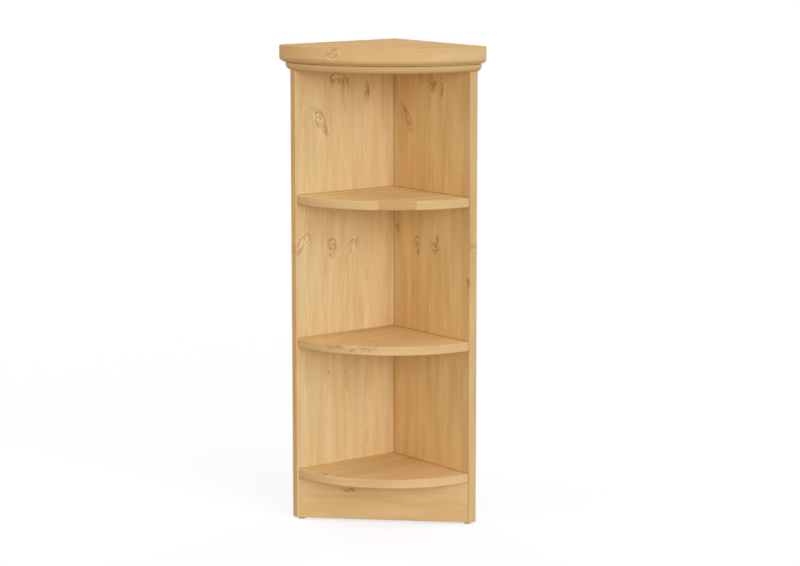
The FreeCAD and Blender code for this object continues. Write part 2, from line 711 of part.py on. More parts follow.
def set_in_place(label, pattern, places):
    """Group of linked fasteners. A place is x, y, z from the inside corner and the way it points."""
    links = []
    for index, (x, y, z, way) in enumerate(places, start=1):
        link = doc.addObject("App::Link", f"{label}_{index}")
        link.LinkedObject = pattern
        link.Placement = Placement(Vector(), Rotation(Vector(0, 0, 1), Vector(*way)))
        link.setExpression("Placement.Base.x", f"{CORNER_X} + {x}")
        link.setExpression("Placement.Base.y", f"{CORNER_Y} + {y}")
        link.setExpression("Placement.Base.z", f"sizes.glide_height + {z}")
        links.append(link)
    group = doc.addObject("Part::Compound", label)
    group.Label = label
    group.Links = links
    return group


ALONG_X = (1, 0, 0)
ALONG_MINUS_Y = (0, -1, 0)
UP = (0, 0, 1)
DOWN = (0, 0, -1)
TO_PLINTH_FRONT = (1, -1, 0)
OUTER_HEAD = "(sizes.board - sizes.screw_recess)"


def shelf_fasteners(name, level, screw, peg):
    """Screws and dowels of one shelf."""
    middle = f"({level} + {MID_BOARD})"
    screws = []
    for distance in ("sizes.screw_back", SCREW_FRONT):
        screws.append((less(OUTER_HEAD), less(distance), middle, ALONG_X))
        screws.append((distance, OUTER_HEAD, middle, ALONG_MINUS_Y))
    dowels = [(less("sizes.dowel_in_face"), less(DOWEL_AT), middle, ALONG_X),
              (DOWEL_AT, "sizes.dowel_in_face", middle, ALONG_MINUS_Y)]
    return [set_in_place(f"{name}_shelf_screws", screw, screws),
            set_in_place(f"{name}_shelf_dowels", peg, dowels)]


def carcass_fasteners(screw, top_screw, peg):
    """Screws and dowels of the corner joint, cornice board, top board and plinth."""
    corner_screws = [(less(OUTER_HEAD), MID_BOARD, height, ALONG_X) for height in corner_screw_heights()]
    corner_dowels = [(less("sizes.dowel_in_face"), MID_BOARD, height, ALONG_X)
                     for height in corner_dowel_heights()]
    cornice_head = f"({TOP_LEVEL} - sizes.screw_recess)"
    cornice_screws = [(x, y, cornice_head, DOWN) for x, y in cornice_screw_places()]
    cornice_peg = f"({PANEL_HEIGHT} + sizes.dowel_in_face)"
    cornice_dowels = [(x, y, cornice_peg, DOWN) for x, y in cornice_dowel_places()]
    top_head = f"({PANEL_HEIGHT} + sizes.screw_recess)"
    top_screws = [(x, y, top_head, UP) for x, y in top_screw_places()]
    plinth_peg = "(sizes.plinth_height + sizes.dowel_in_face)"
    plinth_dowels = [(x, y, plinth_peg, DOWN) for x, y in plinth_dowel_places()]
    return [
        set_in_place("corner_joint_screws", screw, corner_screws),
        set_in_place("corner_joint_dowels", peg, corner_dowels),
        set_in_place("cornice_screws", screw, cornice_screws),
        set_in_place("cornice_dowels", peg, cornice_dowels),
        set_in_place("top_board_screws", top_screw, top_screws),
        set_in_place("plinth_dowels", peg, plinth_dowels),
    ]


def bracket_fasteners(screw):
    """Two screws in each bracket: up into the shelf and forward into the plinth."""
    under = "(sizes.plinth_height - sizes.bracket_sheet)"
    places = [(x, y, under, UP) for x, y in bracket_shelf_places()]
    behind = f"({PLINTH_BACK} - sizes.bracket_sheet)"
    height = "(sizes.plinth_height - sizes.bracket_hole_at)"
    for side in (less("sizes.bracket_spread"), "sizes.bracket_spread"):
        x, y = across_chord(side, behind)
        places.append((x, y, height, TO_PLINTH_FRONT))
    return set_in_place("plinth_bracket_screws", screw, places)


def glides_and_nails(pattern):
    """Four glides and the nails that hold them."""
    height = "(sizes.nail_recess - sizes.nail_head_height - sizes.glide_height)"
    pieces = []
    nails = []
    for side, left in (("left", True), ("right", False)):
        for end, place in glide_places(left).items():
            pieces.append(glide(f"{side}_{end}_glide", place))
            nails.append((place[0], place[1], height, UP))
    return pieces + [set_in_place("glide_nails", pattern, nails)]


def build():
    """All sub-parts of the unit."""
    screw = countersunk_screw("carcass_screw", "screw", "sizes.screw_socket", "sizes.screw_socket_depth")
    top_screw = countersunk_screw("wood_screw", "top_screw", "sizes.top_screw_socket",
                                  "(sizes.screw_socket_depth * sizes.top_screw_socket / sizes.screw_socket)")
    peg = dowel("beech_dowel")
    pieces = [left_panel(), right_panel(), bottom_shelf()]
    pieces += [quarter_board("middle_shelf", MIDDLE_LEVEL), quarter_board("upper_shelf", UPPER_LEVEL)]
    pieces += [plinth_board(), cornice_board(), top_board()]
    for name, level in LEVELS.items():
        pieces += shelf_fasteners(name, level, screw, peg)
    pieces += carcass_fasteners(screw, top_screw, peg)
    pieces.append(plinth_bracket("plinth_left_bracket", less("sizes.bracket_spread")))
    pieces.append(plinth_bracket("plinth_right_bracket", "sizes.bracket_spread"))
    pieces.append(bracket_fasteners(pan_screw("bracket_screw")))
    pieces += glides_and_nails(nail("glide_nail"))
    doc.recompute()
    return pieces


def check(pieces):
    """Stop on any failed object, or on a sub-part whose shape is empty or not valid."""
    for item in doc.Objects:
        if "Invalid" in item.State or "Error" in item.State:
            raise RuntimeError(f"{item.Label} failed: {item.State}")
    for piece in pieces:
        if piece.Shape.isNull() or not piece.Shape.isValid() or not piece.Shape.Solids:
            raise RuntimeError(f"{piece.Label} has no valid solid")


def export(pieces):
    """Write one STEP file for each sub-part."""
    os.makedirs("parts", exist_ok=True)
    for piece in pieces:
        piece.Shape.exportStep(os.path.join("parts", f"{piece.Label}.step"))
        print(f"{piece.Label}: {len(piece.Shape.Solids)} solid(s), {piece.Shape.Volume:.0f} mm3")


sub_parts = build()
check(sub_parts)
export(sub_parts)
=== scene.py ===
"""Corner shelf unit of lacquered knotty pine: its finishes, the studio around it and the camera.

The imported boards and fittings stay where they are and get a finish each. Places are in metres, in
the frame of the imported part. The sizes of a finish's pattern are in millimetres.
"""
import logging
import math
from dataclasses import dataclass
from enum import Enum
from functools import partial

import bpy
from mathutils import Matrix, Vector


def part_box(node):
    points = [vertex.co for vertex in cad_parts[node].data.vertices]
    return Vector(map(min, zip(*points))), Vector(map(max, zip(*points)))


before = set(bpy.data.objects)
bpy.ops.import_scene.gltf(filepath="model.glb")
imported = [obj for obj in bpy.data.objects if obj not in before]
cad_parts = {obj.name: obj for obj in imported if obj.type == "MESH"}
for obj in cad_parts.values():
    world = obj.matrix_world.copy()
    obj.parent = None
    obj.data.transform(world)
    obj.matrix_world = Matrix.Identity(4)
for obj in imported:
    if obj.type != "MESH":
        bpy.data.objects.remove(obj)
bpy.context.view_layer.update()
MM = 0.001
PER_MM = (1 / MM, 1 / MM, 1 / MM)
DIAGONAL = math.sqrt(0.5)
WHITE = (1.0, 1.0, 1.0, 1.0)
log = logging.getLogger("corner_shelf_unit")

# Factors that leave out the depth in a board, and the height.
IN_FACE = (1.0, 0.0, 1.0)
LEVEL = (1.0, 1.0, 0.0)

# Noise has this middle and lies mostly in this range. Neighbours a step apart have unlike noise.
NOISE_MIDDLE = (0.5, 0.5, 0.5)
NOISE_RANGE = (0.3, 0.7)
NOISE_STEP = 3.7

Input = float | tuple | bpy.types.Node | bpy.types.NodeSocket
Span = tuple[float, float]


def linear(hex_colour: str) -> tuple[float, float, float, float]:
    """Turns a written colour into the shader's own numbers, by the sRGB curve.

    Args:
        hex_colour: sRGB colour such as "#C89B5A".

    Returns:
        Linear red, green and blue, with a full alpha.
    """
    parts = (int(hex_colour[i:i + 2], 16) / 255 for i in (1, 3, 5))
    channels = [p / 12.92 if p <= 0.04045 else ((p + 0.055) / 1.055) ** 2.4 for p in parts]
    return (*channels, 1.0)


def add_node(tree: bpy.types.NodeTree, kind: str, inputs: dict[str | int, Input] | None = None,
             **settings: object) -> bpy.types.Node:
    """Adds one node with its settings, values and links.

    Args:
        tree: Node tree that gets the node.
        kind: Blender's name for the node, without the leading "ShaderNode".
        inputs: Value, socket or node for an input, by its name or by its place among those in use. A pair
            for "From" or "To" fills the inputs for both ends of that range.
        settings: Properties of the node, set before its inputs are filled.

    Returns:
        The new node.
    """
    node = tree.nodes.new(kind if kind.startswith("NodeGroup") else f"ShaderNode{kind}")
    for name, value in settings.items():
        setattr(node, name, value)
    used = [socket for socket in node.inputs if socket.enabled]
    filled = dict(inputs or {})
    for name in {"From", "To"} & filled.keys():
        filled[f"{name} Min"], filled[f"{name} Max"] = filled.pop(name)
    for key, value in filled.items():
        socket = used[key] if isinstance(key, int) else next(s for s in used if s.name == key)
        if isinstance(value, bpy.types.Node):
            value = next(s for s in value.outputs if s.enabled)
        if isinstance(value, bpy.types.NodeSocket):
            tree.links.new(value, socket)
        else:
            socket.default_value = value
    return node


def add_streaks(tree: bpy.types.NodeTree, place: Input, width: float, length: float,
                detail: float) -> bpy.types.Node:
    """Adds noise that is drawn out along the fibres.

    Args:
        tree: Node tree that gets the nodes.
        place: Place in the wood, in mm, with its third axis along the fibres.
        width: Width of a streak, in mm.
        length: Length of a streak, in mm.
        detail: How many finer layers the noise has.

    Returns:
        The noise.
    """
    drawn_out = add_node(tree, "VectorMath", {0: place, 1: (1 / width, 1 / width, 1 / length)},
                         operation="MULTIPLY")
    return add_node(tree, "TexNoise", {"Vector": drawn_out, "Scale": 1.0, "Detail": detail})


def new_group(name: str, inputs: dict[str, str], outputs: dict[str, str]) -> bpy.types.NodeTree:
    """Starts a node group.

    Args:
        name: Name of the group.
        inputs: Kind of socket for each input, such as "Float" or "Vector".
        outputs: Kind of socket for each output.

    Returns:
        The group's tree, with its sockets and no nodes.
    """
    tree = bpy.data.node_groups.new(name, "ShaderNodeTree")
    for side, sockets in (("INPUT", inputs), ("OUTPUT", outputs)):
        for socket, kind in sockets.items():
            tree.interface.new_socket(socket, in_out=side, socket_type=f"NodeSocket{kind}")
    return tree


def new_material(name: str) -> tuple[bpy.types.Material, bpy.types.NodeTree]:
    """Starts an empty node material.

    Args:
        name: Name of the real material, with the piece where it has its own figure.

    Returns:
        The material and its node tree.
    """
    material = bpy.data.materials.new(name)
    material.use_nodes = True
    material.node_tree.nodes.clear()
    return material, material.node_tree


def dress(node: str, material: bpy.types.Material) -> None:
    """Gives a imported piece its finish.

    Args:
        node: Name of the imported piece.
        material: Finish for all of its surface.
    """
    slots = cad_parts[node].data.materials
    slots.clear()
    slots.append(material)
    log.info("%s: %s", node, material.name)


def half_way_up(node: str, corner: Vector) -> Vector:
    """Finds the place in the corner at half the height of a level board.

    Args:
        node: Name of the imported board.
        corner: Where the inner faces of the panels meet, in metres.

    Returns:
        The place, in metres.
    """
    low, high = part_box(node)
    return Vector((corner.x, corner.y, (low.z + high.z) / 2))


class Grain(Enum):
    """Directions across the staves, through the board and along the fibres."""

    LEFT_UPRIGHT = ((0, -1, 0), (1, 0, 0), (0, 0, 1))
    RIGHT_UPRIGHT = ((1, 0, 0), (0, 1, 0), (0, 0, 1))
    ALONG_LEFT_WALL = ((1, 0, 0), (0, 0, -1), (0, 1, 0))
    ACROSS_CORNER = ((0, 0, 1), (DIAGONAL, -DIAGONAL, 0), (DIAGONAL, DIAGONAL, 0))

    @property
    def turn(self) -> Matrix:
        """Rotation from the frame's axes to across, through and along."""
        return Matrix(self.value)


@dataclass(frozen=True)
class Knot:
    """A branch knot as it shows on the face of a board.

    Attributes:
        across: Place across the staves, in mm.
        along: Place along the fibres, in mm.
        radius: Half its width, in mm.
        stretch: Its length over its width.
        tilt: Lean of its long axis from the fibres, in degrees.
        dark: Strength of its brown body and strokes.
        pale: Strength of its pale strokes.
        cap: Strength of a dark arc with a pale one under it, at its upper end.
    """

    across: float
    along: float
    radius: float
    stretch: float = 1.5
    tilt: float = 0.0
    dark: float = 1.0
    pale: float = 1.0
    cap: float = 0.0


@dataclass(frozen=True)
class Board:
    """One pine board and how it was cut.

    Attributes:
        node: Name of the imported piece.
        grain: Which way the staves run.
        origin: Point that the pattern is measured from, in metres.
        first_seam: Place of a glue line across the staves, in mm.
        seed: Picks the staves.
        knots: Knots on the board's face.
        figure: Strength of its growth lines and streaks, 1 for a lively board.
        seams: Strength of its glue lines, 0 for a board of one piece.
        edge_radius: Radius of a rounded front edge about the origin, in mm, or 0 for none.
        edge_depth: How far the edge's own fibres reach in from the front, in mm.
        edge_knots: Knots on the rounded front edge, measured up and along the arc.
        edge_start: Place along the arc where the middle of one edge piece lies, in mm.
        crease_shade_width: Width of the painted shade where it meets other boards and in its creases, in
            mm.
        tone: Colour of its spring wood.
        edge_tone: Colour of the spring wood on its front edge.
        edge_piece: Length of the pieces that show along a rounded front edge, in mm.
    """

    node: str
    grain: Grain
    origin: Vector
    first_seam: float
    seed: float
    knots: tuple[Knot, ...] = ()
    figure: float = 1.0
    seams: float = 1.0
    edge_radius: float = 0.0
    edge_depth: float = 2.0
    edge_knots: tuple[Knot, ...] = ()
    edge_start: float = 0.0
    crease_shade_width: float = 4.0
    tone: str = "#E6C38F"
    edge_tone: str = "#E4BE88"
    edge_piece: float = 75.0


@dataclass(frozen=True)
class KnotFigure:
    """How pine draws its knots: ragged ovals with broken brown and pale strokes along their rings.

    A reach counts from the knot's middle and is 1 at its outline. A pair gives where a mark starts to
    show and where it is full.

    Attributes:
        rag_scale: How often the outline bends.
        rag: How far the outline bends.
        body: Reach of the brown body.
        stroke_width: Distance from stroke to stroke, in mm.
        dark_strokes: Noise that draws the dark strokes.
        pale_strokes: Noise that draws the pale strokes.
        dark_arc: Reach of the dark arc at the upper end.
        pale_arc: Reach of the pale arc under it.
        arc_width: Distance from the middle of an arc.
        arc_end: Part of the outline that has the arcs, 1 at the upper end.
        arc_share: Strength of the arcs.
        push_across: One over the reach of the push on the fibres, across them.
        push_along: One over its reach along the fibres.
        push_share: How far the fibres are pushed at most, over their distance from the middle.
    """

    rag_scale: float = 0.9
    rag: float = 0.9
    body: Span = (1.2, 0.55)
    stroke_width: float = 4.0
    dark_strokes: Span = (0.48, 0.34)
    pale_strokes: Span = (0.51, 0.64)
    dark_arc: float = 0.95
    pale_arc: float = 0.65
    arc_width: Span = (0.2, 0.05)
    arc_end: Span = (0.2, 0.8)
    arc_share: float = 0.9
    push_across: float = 0.55
    push_along: float = 0.34
    push_share: float = 0.85

    def group(self) -> bpy.types.NodeTree:
        """Makes the node group that draws one knot.

        Returns:
            Group with the knot's marks (body, dark and pale streaks) and the push it gives the fibres.
        """
        tree = new_group(
            "pine_knot",
            {"Place": "Vector", "Centre": "Vector", "Radius": "Float", "Stretch": "Float", "Tilt": "Float",
             "Dark": "Float", "Pale": "Float", "Cap": "Float"},
            {"Marks": "Vector", "Push": "Float"})
        add = partial(add_node, tree)
        given = add("NodeGroupInput").outputs
        away = add("VectorMath", {0: given["Place"], 1: given["Centre"]}, operation="SUBTRACT")
        turned = add("VectorRotate", {"Vector": away, "Angle": given["Tilt"]}, rotation_type="Y_AXIS")
        face = add("VectorMath", {0: turned, 1: IN_FACE}, operation="MULTIPLY")
        length = add("Math", {0: given["Radius"], 1: given["Stretch"]}, operation="MULTIPLY")
        size = add("CombineXYZ", {"X": given["Radius"], "Y": 1.0, "Z": length})
        unit = add("VectorMath", {0: face, 1: size}, operation="DIVIDE")

        # A knot is never quite oval.
        own = add("VectorMath", {0: unit, 1: given["Centre"]}, operation="ADD")
        ragged = add("TexNoise", {"Vector": own, "Scale": self.rag_scale, "Detail": 3.0}).outputs["Color"]
        shake = add("VectorMath", {0: ragged, 1: NOISE_MIDDLE}, operation="SUBTRACT")
        bent = add("VectorMath", {0: shake, 1: (self.rag, 0.0, self.rag), 2: unit},
                   operation="MULTIPLY_ADD")
        reach = add("VectorMath", {0: bent}, operation="LENGTH").outputs["Value"]
        body = add("MapRange", {"Value": reach, "From": self.body}, interpolation_type="SMOOTHSTEP")

        # Its rings show as broken brown and pale strokes round its middle. At the upper end, some knots
        # have a dark arc with a pale one under it.
        aim = add("VectorMath", {0: bent}, operation="NORMALIZE")
        from_middle = add("Math", {0: reach, 1: given["Radius"]}, operation="MULTIPLY")
        ring = add("Math", {0: from_middle, 1: self.stroke_width}, operation="DIVIDE")
        about = add("VectorMath", {0: add("CombineXYZ", {"Y": ring}), 1: given["Centre"]}, operation="ADD")
        spread = add("VectorMath", {0: aim, 1: about}, operation="ADD")
        strokes = add("TexNoise", {"Vector": spread, "Scale": 1.0, "Detail": 0.0})
        above = add("MapRange", {"Value": add("SeparateXYZ", {0: aim}).outputs["Z"], "From": self.arc_end,
                                 "To": (0.0, self.arc_share)})
        upper = add("Math", {0: above, 1: given["Cap"]}, operation="MULTIPLY")
        bands = []
        for noise, level, strength in ((self.dark_strokes, self.dark_arc, "Dark"),
                                       (self.pale_strokes, self.pale_arc, "Pale")):
            stroke = add("MapRange", {"Value": strokes, "From": noise}, interpolation_type="SMOOTHSTEP")
            inside = add("Math", {0: stroke, 1: body}, operation="MULTIPLY")
            past = add("Math", {0: reach, 1: level}, operation="SUBTRACT")
            off = add("Math", {0: past}, operation="ABSOLUTE")
            ribbon = add("MapRange", {"Value": off, "From": self.arc_width},
                         interpolation_type="SMOOTHSTEP")
            arc = add("Math", {0: ribbon, 1: upper}, operation="MULTIPLY")
            both = add("Math", {0: inside, 1: arc}, operation="MAXIMUM")
            bands.append(add("Math", {0: both, 1: given[strength]}, operation="MULTIPLY"))
        brown = add("Math", {0: body, 1: given["Dark"]}, operation="MULTIPLY")
        marks = add("CombineXYZ", {"X": brown, "Y": bands[0], "Z": bands[1]})

        # The fibres part ahead of the knot and close behind it.
        swell = add("VectorMath", {0: unit, 1: (self.push_across, 0.0, self.push_along)},
                    operation="MULTIPLY")
        ebb = add("VectorMath", {0: swell}, operation="LENGTH").outputs["Value"]
        near = add("MapRange", {"Value": ebb, "From": (1.0, 0.0), "To": (0.0, self.push_share)},
                   interpolation_type="SMOOTHSTEP")
        push = add("Math", {0: add("SeparateXYZ", {0: away}), 1: near}, operation="MULTIPLY")
        add("NodeGroupOutput", {"Marks": marks, "Push": push})
        return tree


@dataclass(frozen=True)
class LacqueredPine:
    """Glued knotty pine, sanded and sealed with a clear satin lacquer.

    The eye sees broad staves that differ a little in tone, soft and nearly straight growth lines, knots
    with brown arcs and pale streaks that push the lines aside, and a calm sheen.

    A share is how much of a mark's colour shows at most. Odds are the noise at which a mark starts to
    show and at which it is full, and a reach gives the distances for the same.
    """

    late_wood: str = "#C6965A"
    late_share: Span = (0.04, 0.19)
    amber: str = "#D8AA6C"
    amber_share: float = 0.55
    amber_odds: Span = (0.38, 0.72)
    ripe: str = "#CB955C"
    ripe_share: float = 0.55
    ripe_odds: Span = (0.08, 0.02)
    end_grain: str = "#BE9058"
    end_share: float = 0.5
    knot_core: str = "#C08F55"
    knot_core_share: float = 0.5
    knot_rim: str = "#8A5F33"
    knot_rim_share: float = 0.42
    knot_light: str = "#F8DDB0"
    knot_light_share: float = 0.5
    glue_line: str = "#9A6E3C"
    glue_share: float = 0.34
    glue_odds: Span = (0.35, 0.65)
    pale_line_share: float = 0.5
    pale_line_odds: Span = (0.42, 0.62)
    # Colour of the painted shade at joints and in creases.
    joint: str = "#7A5026"
    crease_shade_share: float = 0.5

    # Factors on the brightness, and steps of the hue, which 0.5 leaves as it is.
    stave_tone: Span = (0.965, 1.025)
    streak_tone: Span = (0.96, 1.04)
    fibre_tone: Span = (0.98, 1.02)
    fibre_odds: Span = (0.25, 0.75)
    stave_hue: Span = (-0.0015, 0.0015)
    streak_hue: Span = (0.4975, 0.5025)

    # Sizes of the pattern, in mm.
    stave_width: float = 51.2
    stave_length: float = 5000.0
    pith_aside: Span = (-60.0, 60.0)
    pith_depth: Span = (-60.0, -24.0)
    pith_sway: Span = (-16.0, 16.0)
    sway_length: float = 555.56
    ring_width: float = 4.2
    ring_waver: Span = (-2.5, 2.5)
    waver_width: float = 14.286
    waver_length: float = 142.86
    streak_width: float = 20.0
    streak_length: float = 180.0
    fibre_width: float = 0.8
    fibre_length: float = 26.0
    glue_reach: Span = (1.2, 0.24)
    glue_length: float = 45.045
    pale_line_reach: Span = (3.4, 2.0)

    # Part of a year when late wood starts and is full, and when it stops. Good and bad years follow each
    # other at this pace per ring, and move the lines by this many rings.
    late_start: Span = (0.25, 0.85)
    late_stop: Span = (1.0, 0.9)
    season_pace: float = 0.3
    season_swing: float = 3.0

    # How squarely a face looks the way of a front edge, a flat top and a cut across the fibres, and how
    # open the air is where the painted shade in joints and creases starts and where it is darkest.
    edge_facing: float = 0.7
    top_facing: float = 0.8
    cut_power: float = 3.0
    crease_shade_air: Span = (0.85, 0.55)

    # Lacquer, with the fibres and the late wood just felt through it.
    roughness: Span = (0.75, 0.87)
    roughness_odds: Span = (0.2, 0.8)
    ior: float = 1.5
    gloss: float = 0.1
    late_relief: float = 0.6
    bump_height: float = 0.12
    bump_strength: float = 0.35

    # Numbers kept for the staves of one length before the next length starts.
    staves_listed: float = 8.0

    def figure_group(self) -> bpy.types.NodeTree:
        """Makes the node group that draws staves, growth lines and fibres.

        Returns:
            Group with the colour, roughness and height of the wood at a place in a board.
        """
        tree = new_group(
            "pine_figure",
            {"Place": "Vector", "Marks": "Vector", "Push": "Float", "Piece": "Float", "Seed": "Float",
             "End": "Float", "Figure": "Float", "Seams": "Float", "Tone": "Color"},
            {"Color": "Color", "Roughness": "Float", "Height": "Float"})
        add = partial(add_node, tree)
        given = add("NodeGroupInput").outputs
        place = add("SeparateXYZ", {0: given["Place"]}).outputs
        marks = add("SeparateXYZ", {0: given["Marks"]}).outputs

        # Staves: which one this is, how far from its middle, and its own three random numbers.
        lane = add("Math", {0: place["X"], 1: self.stave_width}, operation="DIVIDE")
        stave = add("Math", {0: lane}, operation="FLOOR")
        within = add("Math", {0: lane}, operation="FRACT")
        lengths = add("Math", {0: place["Z"], 1: given["Piece"]}, operation="DIVIDE")
        piece = add("Math", {0: lengths}, operation="ROUND")
        listed = add("Math", {0: stave, 1: given["Seed"]}, operation="ADD")
        name = add("Math", {0: piece, 1: self.staves_listed, 2: listed}, operation="MULTIPLY_ADD")
        dice = add("TexWhiteNoise", {"W": name}, noise_dimensions="1D").outputs["Color"]
        chance = add("SeparateXYZ", {0: dice}).outputs
        middle = add("Math", {0: within, 1: 0.5}, operation="SUBTRACT")
        offset = add("Math", {0: middle, 1: self.stave_width}, operation="MULTIPLY")
        pushed = add("Math", {0: offset, 1: given["Push"]}, operation="SUBTRACT")

        # The pith of the log lies outside the stave and wanders a little along it.
        far = add("Math", {0: name, 1: NOISE_STEP}, operation="MULTIPLY")
        slow = add("Math", {0: place["Z"], 1: self.sway_length}, operation="DIVIDE")
        walk = add("TexNoise", {"Vector": add("CombineXYZ", {"X": far, "Y": slow}), "Scale": 1.0,
                                "Detail": 1.0}, noise_dimensions="2D").outputs["Color"]
        wander = add("SeparateXYZ", {0: walk}).outputs
        pith = {}
        for axis, home in (("X", self.pith_aside), ("Y", self.pith_depth)):
            at_home = add("MapRange", {"Value": chance[axis], "To": home})
            sway = add("MapRange", {"Value": wander[axis], "To": self.pith_sway})
            pith[axis] = add("Math", {0: at_home, 1: sway}, operation="ADD")

        # Growth lines are rings about the pith, narrow in bad years and wide in good ones.
        spot = add("CombineXYZ", {"X": pushed, "Y": place["Y"]})
        radius = add("VectorMath", {0: spot, 1: add("CombineXYZ", pith)},
                     operation="DISTANCE").outputs["Value"]
        ripple = add_streaks(tree, given["Place"], self.waver_width, self.waver_length, detail=2.0)
        waver = add("MapRange", {"Value": ripple, "To": self.ring_waver})
        wavy = add("Math", {0: radius, 1: waver}, operation="ADD")
        rings = add("Math", {0: wavy, 1: self.ring_width}, operation="DIVIDE")
        pace = add("Math", {0: rings, 1: self.season_pace, 2: name}, operation="MULTIPLY_ADD")
        seasons = add("TexNoise", {"W": pace, "Scale": 1.0, "Detail": 1.0}, noise_dimensions="1D")
        uneven = add("Math", {0: seasons, 1: self.season_swing, 2: rings}, operation="MULTIPLY_ADD")
        year = add("Math", {0: uneven}, operation="FRACT")
        start = add("MapRange", {"Value": year, "From": self.late_start}, interpolation_type="SMOOTHSTEP")
        stop = add("MapRange", {"Value": year, "From": self.late_stop}, interpolation_type="SMOOTHSTEP")
        late = add("Math", {0: start, 1: stop}, operation="MULTIPLY")

        # Broad streaks and fine fibres. Fibres are drawn about four times too wide, so that they show.
        own = add("VectorMath", {0: given["Place"], 1: add("CombineXYZ", {"Y": name})}, operation="ADD")
        broad = add_streaks(tree, own, self.streak_width, self.streak_length, detail=3.0).outputs
        fine = add_streaks(tree, given["Place"], self.fibre_width, self.fibre_length, detail=2.0)
        drift = add("SeparateColor", {0: broad["Color"]}).outputs

        # Colours of the clear wood: growth lines, amber streaks and a few staves of riper wood.
        strength = add("MapRange", {"Value": broad["Fac"], "From": NOISE_RANGE, "To": self.late_share})
        drawn = add("Math", {0: late, 1: strength}, operation="MULTIPLY")
        lines = add("Math", {0: drawn, 1: given["Figure"]}, operation="MULTIPLY")
        warmth = add("MapRange", {"Value": broad["Fac"], "From": self.amber_odds,
                                  "To": (0.0, self.amber_share)})
        warm = add("Math", {0: warmth, 1: given["Figure"]}, operation="MULTIPLY", use_clamp=True)
        ripe = add("MapRange", {"Value": chance["Z"], "From": self.ripe_odds, "To": (0.0, self.ripe_share)})
        wood = given["Tone"]
        for part, tint in ((lines, self.late_wood), (warm, self.amber), (ripe, self.ripe)):
            wood = add("Mix", {"Factor": part, "A": wood, "B": linear(tint)}, data_type="RGBA")
        stave_tone = add("MapRange", {"Value": chance["Z"], "To": self.stave_tone})
        fibre_tone = add("MapRange", {"Value": fine, "From": self.fibre_odds, "To": self.fibre_tone})
        streak_tone = add("MapRange", {"Value": drift["Blue"], "From": NOISE_RANGE, "To": self.streak_tone})
        tones = add("Math", {0: stave_tone, 1: fibre_tone}, operation="MULTIPLY")
        value = add("Math", {0: tones, 1: streak_tone}, operation="MULTIPLY")
        stave_hue = add("MapRange", {"Value": chance["X"], "To": self.stave_hue})
        streak_hue = add("MapRange", {"Value": drift["Green"], "From": NOISE_RANGE, "To": self.streak_hue})
        hue = add("Math", {0: stave_hue, 1: streak_hue}, operation="ADD")
        wood = add("HueSaturation", {"Color": wood, "Value": value, "Hue": hue})

        # Glue lines between the staves come and go along a joint, and so do pale lines beside them.
        joint = add("Math", {0: lane}, operation="ROUND")
        number = add("Math", {0: joint, 1: given["Seed"]}, operation="ADD")
        apart = add("Math", {0: number, 1: NOISE_STEP}, operation="MULTIPLY")
        along = add("Math", {0: place["Z"], 1: self.glue_length}, operation="DIVIDE")
        luck = add("TexNoise", {"Vector": add("CombineXYZ", {"X": apart, "Y": along}), "Scale": 1.0,
                                "Detail": 1.0}, noise_dimensions="2D").outputs
        other_luck = add("SeparateColor", {0: luck["Color"]}).outputs["Green"]
        from_middle = add("Math", {0: middle}, operation="ABSOLUTE")
        off_joint = add("Math", {0: 0.5, 1: from_middle}, operation="SUBTRACT")
        seams = []
        for distance, reach, noise, odds in (
                (within, self.pale_line_reach, other_luck, self.pale_line_odds),
                (off_joint, self.glue_reach, luck["Fac"], self.glue_odds)):
            close = add("MapRange", {"Value": distance, "From": [mm / self.stave_width for mm in reach]},
                        interpolation_type="SMOOTHSTEP")
            shown = add("MapRange", {"Value": noise, "From": odds})
            line = add("Math", {0: close, 1: shown}, operation="MULTIPLY")
            seams.append(add("Math", {0: line, 1: given["Seams"]}, operation="MULTIPLY"))
        pale_line, glue = seams

        # Marks on the wood, from the end grain through the knots to the glue lines.
        for cover, share, tint in ((given["End"], self.end_share, self.end_grain),
                                   (marks["X"], self.knot_core_share, self.knot_core),
                                   (marks["Y"], self.knot_rim_share, self.knot_rim),
                                   (marks["Z"], self.knot_light_share, self.knot_light),
                                   (pale_line, self.pale_line_share, self.knot_light),
                                   (glue, self.glue_share, self.glue_line)):
            part = add("Math", {0: cover, 1: share}, operation="MULTIPLY")
            wood = add("Mix", {"Factor": part, "A": wood, "B": linear(tint)}, data_type="RGBA")

        rough = add("MapRange", {"Value": fine, "From": self.roughness_odds, "To": self.roughness})
        relief = add("Math", {0: late, 1: self.late_relief, 2: fine}, operation="MULTIPLY_ADD")
        height = add("Math", {0: relief, 1: glue}, operation="SUBTRACT")
        add("NodeGroupOutput", {"Color": wood, "Roughness": rough, "Height": height})
        return tree

    def material(self, board: Board) -> bpy.types.Material:
        """Makes the finish of one board, with its own staves and knots.

        Args:
            board: The board and how it was cut.

        Returns:
            The board's material.
        """
        made, tree = new_material(f"lacquered_pine_{board.node}")
        add = partial(add_node, tree)
        spot = add("TexCoord").outputs["Object"]
        normal = add("NewGeometry").outputs["Normal"]
        turn = board.grain.turn
        home = -(turn @ board.origin) / MM
        home.x -= board.first_seam
        place = add("Mapping", {"Vector": spot, "Location": home, "Rotation": turn.to_euler(),
                                "Scale": PER_MM})
        facing = []
        for axis in (turn[0], turn[2]):
            dot = add("VectorMath", {0: normal, 1: axis}, operation="DOT_PRODUCT").outputs["Value"]
            facing.append(add("Math", {0: dot}, operation="ABSOLUTE"))
        aside, endways = facing

